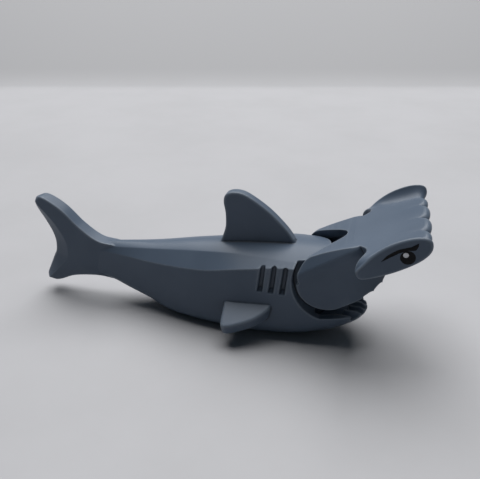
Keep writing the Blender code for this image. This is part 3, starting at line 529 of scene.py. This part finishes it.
bar = ring((0, hinge[2]), BARREL_RADIUS)
pins = ring((0, hinge[2]), PIN_RADIUS)
barrel_end, pin_end = CHEEK_INSIDE - CHEEK_GAP, CHEEK_INSIDE + PIN_LENGTH
body = fused("shark_body", [body, carried("barrel", bar, -barrel_end, barrel_end, 1),
                            carried("pins", pins, -pin_end, pin_end, 1)], BODY_GRAIN)
soften(body, BODY_TRIANGLES)
body.data.materials.append(moulded_plastic("body plastic"))
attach(body, "body")
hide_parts("body")

# Head
# A second moulding of the same plastic: two cheeks that clip over the pins, a roof with a notch for the neck,
# the upper teeth, and the hammer, whose thin scalloped web swells at each end into an upright lobe.
OPEN_ANGLE = 33.0
CHEEK_RADIUS = 8.2
HEAD_SIDE = ((-9.0, 10.3), (-8.0, 10.4), (-4.0, 10.9), (0.0, 11.1), (4.0, 11.0), (5.7, 10.7), (7.8, 9.1),
             (8.6, 8.6))
HEAD_FRONT = ((-9.0, 12.9), (-8.0, 13.1), (-3.0, 13.7), (0.5, 15.0), (3.0, 17.0), (8.6, 17.0))
HEAD_ARC_START = ((-9.0, 3.5), (-8.0, 3.5), (-3.0, 4.2), (0.5, 6.0), (3.0, 8.2), (5.7, 9.6), (8.6, 9.6))
HEAD_BOTTOM, HEAD_TOP, HEAD_BACK, HEAD_FRONT_WALL = -8.0, 8.6, -9.5, 2.6
ROOF_UNDERSIDE, ROOF_END = 5.2, 14.6
BLOCK_AHEAD, BLOCK_FRONT_TOP, BLOCK_ROOF_FOOT = 40, 2.0, (ROOF_END + 1.2, 3.6)  # the jaw block's side view
SHEET_TOP = ((-9.5, 8.3), (0.0, 8.1), (8.8, 6.9), (14.0, 5.5), (22.0, 3.7), (28.0, 2.5))
SHEET_BOTTOM = ((-9.5, 5.6), (8.0, 4.4), (14.0, 0.6), (20.0, 0.0), (28.0, 0.0))
WEB_REAR = ((0.0, 10.6), (8.9, 10.6), (9.3, 11.8), (10.2, 12.9), (11.4, 13.5), (13.0, 13.5), (14.6, 12.9),
            (15.8, 12.0), (16.8, 11.0), (17.2, 10.4))
WEB_REAR_ROUND = ((0.0, 0.05), (10.2, 0.05), (12.6, 1.2), (17.2, 1.2))
WEB_FRONT, WEB_FRONT_ROUND = 28.1, 1.4
WEB_PROUD = 0.04  # lifts the web's top off the roof's, so that the two don't coincide
SCALLOPS = ((4.1, 4.0, 1.4), (10.8, 2.8, 1.1))
SCALLOP_RIDGE, SCALLOP_RIDGE_LENGTH = 0.28, 5.5
LOBE_OUTLINE = ((10.1, 2.2), (10.6, 3.5), (13.0, 4.5), (17.0, 5.8), (21.5, 6.3), (26.2, 5.7), (29.3, 4.2),
                (29.8, 2.4), (28.4, 0.4), (25.0, -0.7), (19.4, -0.8), (14.0, -0.1), (10.8, 0.8))
LOBE_END, LOBE_START, LOBE_ROUND = 17.95, 13.0, 0.8
NOTCH = ((8.8, 0.0), (8.3, 1.5), (6.7, 3.0), (4.7, 4.3), (1.0, 6.6), (-2.9, 8.9), (-6.0, 10.6), (-9.5, 12.4))
TOOTH_PITCH, TOOTH_VALLEYS, TOOTH_CREST = 22.0, 7, 0.35
VALLEY_DEPTH, VALLEY_FALL, VALLEY_DEEPEST = 0.4, 0.3, 2.4
SOCKET_RADIUS, SOCKET_END = 2.35, 10.5
HEAD_GRAIN = 0.14
HEAD_TRIANGLES = 150000


def opened(points):
    """The head's level drawing, turned open about the hinge axis and put at its height."""
    points = np.asarray(points, float)
    cos, sin = math.cos(math.radians(OPEN_ANGLE)), math.sin(math.radians(OPEN_ANGLE))
    ahead, out, up = points[..., 0], points[..., 1], points[..., 2]
    return np.stack([ahead * cos - up * sin, out, ahead * sin + up * cos + hinge[2]], axis=-1)


def opened_prism(name, outline, low, high, axis):
    """As carried, in the head's level drawing."""
    return skin(name, opened(np.stack([np.insert(outline, axis, level, axis=1) for level in (low, high)])))


def cheek_grid():
    """Plan outlines of the jaw block from its rim to its roof, each with a half ellipse for a front."""
    level = np.linspace(HEAD_BOTTOM, HEAD_TOP, 44)
    side = np.interp(level, *np.array(HEAD_SIDE).T)
    start, reach = through(HEAD_ARC_START, level), through(HEAD_FRONT, level)
    plans = [round_ended(s, a, r, HEAD_BACK, 90) for s, a, r in zip(side, start, reach)]
    return opened(np.stack([np.insert(plan, 2, up, axis=1) for plan, up in zip(plans, level)]))


def scallop(out):
    """How far the front edge stands out: the highest of a few half ellipses along the width."""
    shares = [(height, np.clip(np.abs(out - middle) / half, 0, 1)) for middle, half, height in SCALLOPS]
    return np.max([height * np.sqrt(1 - share**2) for height, share in shares], axis=0)


def end_round(distance, radius):
    """The share of its thickness that a rounded edge has at a distance from its end: a quarter circle."""
    return np.sqrt(np.clip(1 - np.clip(1 - distance / radius, 0, 1) ** 2, 0.01, 1))


def lobe_lines(share):
    """The lobe's upper and lower line, from its rear tip to its front tip, at shares of its length."""
    outline = flowing(LOBE_OUTLINE, 12, closed=True)
    tip = int(np.argmax(outline[:, 0]))
    upper, lower = outline[:tip + 1], np.vstack([outline[tip:], outline[:1]])[::-1]
    place = upper[0, 0] + (upper[-1, 0] - upper[0, 0]) * share
    return place, np.interp(place, upper[:, 0], upper[:, 1]), np.interp(place, lower[:, 0], lower[:, 1])


def hammer_grid():
    """Sections across the head. Each runs round a thin web, whose edges are quarter circles; towards the ends
    it swells, with the square and cube of the distance, into the lobe's upright outline, which a quarter
    circle closes."""
    share = (1 - np.cos(np.linspace(0, math.pi, 60))) / 2
    out = np.concatenate([np.linspace(0, 8.4, 34), np.linspace(8.5, LOBE_END - LOBE_ROUND, 60)])[:, None]
    rear, front = through(WEB_REAR, out), WEB_FRONT + scallop(out)
    place = rear + (front - rear) * share[None, :]
    ridge = np.clip((place - (WEB_FRONT - SCALLOP_RIDGE_LENGTH)) / SCALLOP_RIDGE_LENGTH, 0, 1)
    crests = scallop(out) / SCALLOPS[0][2] - 0.5
    above = through(SHEET_TOP, place) + WEB_PROUD + SCALLOP_RIDGE * ridge * crests
    below = through(SHEET_BOTTOM, place)
    rear_round = end_round(place - rear, through(WEB_REAR_ROUND, out))
    thickness = rear_round * end_round(front - place, WEB_FRONT_ROUND)
    middle = 0.45 * above + 0.55 * below
    above, below = middle + (above - middle) * thickness, middle + (below - middle) * thickness
    round_place = np.concatenate([place, place[:, -2:0:-1]], 1)
    round_height = np.concatenate([above, below[:, -2:0:-1]], 1)
    web = np.stack([round_place, round_height], axis=-1)
    at, over, under = lobe_lines(share)
    lobe = np.column_stack([np.concatenate([at, at[-2:0:-1]]), np.concatenate([over, under[-2:0:-1]])])
    rise = np.clip((out - LOBE_START) / (LOBE_END - LOBE_ROUND - LOBE_START), 0, 1)[..., None]
    sections = web + (lobe[None] - web) * rise**2 * (0.4 + 0.6 * rise)
    turn = np.linspace(0, math.pi / 2, 8)[1:]
    heart, half = (lobe.min(0) + lobe.max(0)) / 2, (lobe.max(0) - lobe.min(0)) / 2
    inwards = LOBE_ROUND * (1 - np.cos(turn))[:, None]
    rims = heart + (lobe - heart)[None] * ((half - inwards) / half)[:, None]
    outs = np.concatenate([out[:, 0], LOBE_END - LOBE_ROUND + LOBE_ROUND * np.sin(turn)])
    side = np.insert(np.concatenate([sections, rims]), 1, 0, axis=2)
    side[..., 1] = outs[:, None]
    return opened(np.concatenate([side[:0:-1] * (1, -1, 1), side]))


def valley_grid(angle, centre, reach):
    """A valley between two upper teeth: half an ellipse across, deeper towards the mouth, and turned to its
    angle."""
    radius = np.linspace(0.42, 1.12, 6)[:, None] * reach
    turn = np.linspace(0, math.pi, 25)[None, :]
    half = np.maximum(radius * math.tan(math.radians(TOOTH_PITCH) / 2) - TOOTH_CREST / 2, 0.2)
    deep = np.minimum(VALLEY_DEPTH + VALLEY_FALL * np.maximum(reach - radius, 0), VALLEY_DEEPEST)
    across = np.concatenate([half * np.cos(turn), -half, half], 1)
    height = np.concatenate([-deep * np.sin(turn), 3.0 + 0 * half, 3.0 + 0 * half], 1)
    cos, sin = math.cos(math.radians(angle)), math.sin(math.radians(angle))
    along = radius + 0 * across
    place = centre + along * cos - across * sin
    return np.stack([place, along * sin + across * cos, HEAD_BOTTOM - height], axis=-1)


block = skin("block", cheek_grid())
rear = arc((0, 0), CHEEK_RADIUS, 93, 270, 90)
roof_places = np.linspace(ROOF_END, 1.0, 40)
roof_line = np.column_stack([roof_places, through(SHEET_TOP, roof_places)])
kept_under = [(0, -CUTTER_OUT), (BLOCK_AHEAD, -CUTTER_OUT), (BLOCK_AHEAD, BLOCK_FRONT_TOP), BLOCK_ROOF_FOOT]
kept = np.vstack([rear, kept_under, roof_line])
cut(block, [opened_prism("kept", kept, -CUTTER_OUT, CUTTER_OUT, 1)], "INTERSECT")
head = cut(block, [skin("hammer", hammer_grid())], "UNION")

reach = float(through(HEAD_FRONT, HEAD_BOTTOM))
start = HEAD_ARC_START[0][1]
hollow = round_ended(CHEEK_INSIDE, start, reach - HEAD_FRONT_WALL, HEAD_BACK - 3, 60)
notch_side = flowing(NOTCH, 8)
notch = np.vstack([notch_side[::-1], notch_side[1:] * (1, -1)])
cutters = [opened_prism("hollow", hollow, HEAD_BOTTOM - 4, ROOF_UNDERSIDE, 2),
           opened_prism("notch", notch, ROOF_UNDERSIDE - 2, 14, 2),
           opened_prism("sockets", ring((0, 0), SOCKET_RADIUS), -SOCKET_END, SOCKET_END, 1)]
turns = (np.arange(TOOTH_VALLEYS) - (TOOTH_VALLEYS - 1) / 2) * TOOTH_PITCH
cutters += [skin("valley", opened(valley_grid(turn, start, reach - start))) for turn in turns]
cut(head, cutters)
head = fused("shark_head", [head], HEAD_GRAIN)
soften(head, HEAD_TRIANGLES)
head.data.materials.append(moulded_plastic("head plastic"))
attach(head, "upper_jaw")
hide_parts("head")

# Printed eyes and brows
# Pad-printed ink on the flat end of each lobe: a black round eye with a pale glint, and a black brow over it.
# Each patch is a film a few hundredths of a millimetre thick, and turns with the head.
EYE_CENTRE, EYE_RADIUS = (23.3, 1.8), 1.75
GLINT_CENTRE, GLINT_RADIUS = (23.2, 2.6), 0.65
BROW_TOP = ((17.2, 3.4), (19.5, 4.3), (22.2, 4.55), (24.2, 4.2), (25.8, 3.85), (27.1, 4.1))
BROW_BOTTOM = ((26.7, 3.4), (25.6, 2.8), (23.8, 3.5), (20.4, 3.8))
INK_THICKNESS = 0.03
INK_LIFT, GLINT_LIFT = 0.03, 0.05  # how far the films stand out from the lobe
INK_ROUGHNESS, INK_SHEEN = 0.5, 0.12
INK_BLACK = (0.006, 0.006, 0.007, 1)
INK_PALE = (0.62, 0.62, 0.65, 1)


def ink(name, colour):
    """Printed ink: a thin even film, a little mottled by the plastic under it."""
    made, shader, where = finish(name, INK_ROUGHNESS, INK_SHEEN)
    blot = where.node("ShaderNodeTexNoise", n0=where, Scale=900.0, Detail=2.0)
    paler = tuple(min(value * 1.35 + 0.004, 1) for value in colour[:3]) + (1,)
    mottled = blot.between(0.4, 0.75).mixed(colour, paler)
    feed(shader, Base_Color=mottled, Roughness=INK_ROUGHNESS - 0.05 + 0.1 * blot)
    return made


def film_grid(outline, side, lift):
    """A thin closed film on the lobe's end: rings of its outline, shrunk to a point on both faces."""
    heart = outline.mean(0)
    shares = np.concatenate([[0.02], np.linspace(0.2, 1, 5), [1.0], np.linspace(0.9, 0.02, 2)])
    levels = np.concatenate([np.full(6, lift), np.full(3, lift - 2 * INK_THICKNESS)])
    rings = heart + (outline - heart)[None] * shares[:, None, None]
    points = np.insert(rings, 1, 0, axis=2)
    points[..., 1] = side * (LOBE_END + levels)[:, None]
    return opened(points)


black = ink("black ink", INK_BLACK)
pale = ink("pale ink", INK_PALE)
brow_outline = np.vstack([flowing(BROW_TOP, 8), flowing(BROW_BOTTOM, 8)])
for side, mark in ((1, "left"), (-1, "right")):
    films = (("eye", ring(EYE_CENTRE, EYE_RADIUS, 72), INK_LIFT, black),
             ("brow", brow_outline, INK_LIFT, black),
             ("glint", ring(GLINT_CENTRE, GLINT_RADIUS, 36), GLINT_LIFT, pale))
    for word, outline, lift, colour in films:
        film = skin(f"{word}_{mark}", film_grid(outline, side, lift))
        film.data.materials.append(colour)
        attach(film, "upper_jaw")

# Table and light
# A pale matt table that slopes up into a slightly darker backdrop, a third of a metre behind the shark. One
# broad lamp stands above and behind the shark, and a weak bluish light fills the shadows.
TABLE_COLOUR = (0.426, 0.424, 0.439, 1)
TABLE_MOTTLED = (0.404, 0.402, 0.415, 1)
BACKDROP_COLOUR = (0.315, 0.314, 0.324, 1)
BACKDROP_FROM, BACKDROP_ROUND, BACKDROP_SLOPE = 0.345, 0.02, math.radians(17)
BACKDROP_LENGTH, TABLE_REACH = 1.4, 1.4
BLEND_BEFORE, BLEND_AFTER = 0.02, 0.04  # how far the backdrop's tone fades in, about its foot
TABLE_ROUGHNESS, TABLE_SHEEN = 0.6, 0.2
ROOM_COLOUR, ROOM_STRENGTH = (0.66, 0.85, 1.0, 1), 0.06
WINDOW_PLACE, WINDOW_SIZE, WINDOW_WATTS = Vector((-0.15, 0.63, 1.52)), 1.8, 50.0

bend = np.linspace(0, BACKDROP_SLOPE, 12)
depth = np.concatenate([[-TABLE_REACH], BACKDROP_FROM + BACKDROP_ROUND * np.sin(bend)])
height = np.concatenate([[0.0], BACKDROP_ROUND * (1 - np.cos(bend))])
depth = np.append(depth, depth[-1] + BACKDROP_LENGTH * math.cos(BACKDROP_SLOPE))
height = np.append(height, height[-1] + BACKDROP_LENGTH * math.sin(BACKDROP_SLOPE))
away = np.array([math.sin(CAMERA_AZIMUTH), math.cos(CAMERA_AZIMUTH)])
across = np.array([away[1], -away[0]])
wide = np.linspace(-TABLE_REACH, TABLE_REACH, 3)
ground = depth[:, None, None] * away + wide[None, :, None] * across
sweep_points = np.concatenate([ground, np.repeat(height[:, None, None], 3, axis=1)], axis=-1).reshape(-1, 3)
index = np.arange(len(sweep_points)).reshape(len(depth), 3)
corners = [index[:-1, :-1], index[:-1, 1:], index[1:, 1:], index[1:, :-1]]
sweep_faces = np.stack(corners, axis=-1).reshape(-1, 4)
sweep_mesh = bpy.data.meshes.new("table")
sweep_mesh.from_pydata(sweep_points.tolist(), [], sweep_faces.tolist())
sweep_mesh.shade_smooth()
table = bpy.data.objects.new("table", sweep_mesh)
bpy.context.scene.collection.objects.link(table)
table_finish, table_shader, where = finish("table", TABLE_ROUGHNESS, TABLE_SHEEN)
mottle = where.node("ShaderNodeTexNoise", n0=where, Scale=14.0, Detail=5.0, Roughness=0.6)
colour = mottle.between(0.35, 0.7).mixed(TABLE_COLOUR, TABLE_MOTTLED)
product = {"operation": "DOT_PRODUCT"}
far = where.node("ShaderNodeVectorMath", product, output="Value", n0=where, n1=(*away, 0))
slope = far.between(BACKDROP_FROM - BLEND_BEFORE, BACKDROP_FROM + BLEND_AFTER)
feed(table_shader, Base_Color=slope.mixed(colour, BACKDROP_COLOUR))
table.data.materials.append(table_finish)

world = bpy.data.worlds.new("room")
bpy.context.scene.world = world
world.use_nodes = True
world.node_tree.nodes["Background"].inputs["Color"].default_value = ROOM_COLOUR
world.node_tree.nodes["Background"].inputs["Strength"].default_value = ROOM_STRENGTH

light = bpy.data.lights.new("window", "AREA")
light.shape = "SQUARE"
light.size = WINDOW_SIZE
light.energy = WINDOW_WATTS
window = bpy.data.objects.new("window", light)
window.location = WINDOW_PLACE
window.rotation_euler = (-WINDOW_PLACE).to_track_quat("-Z", "Y").to_euler()
bpy.context.scene.collection.objects.link(window)

bpy.context.scene.view_settings.view_transform = "Standard"
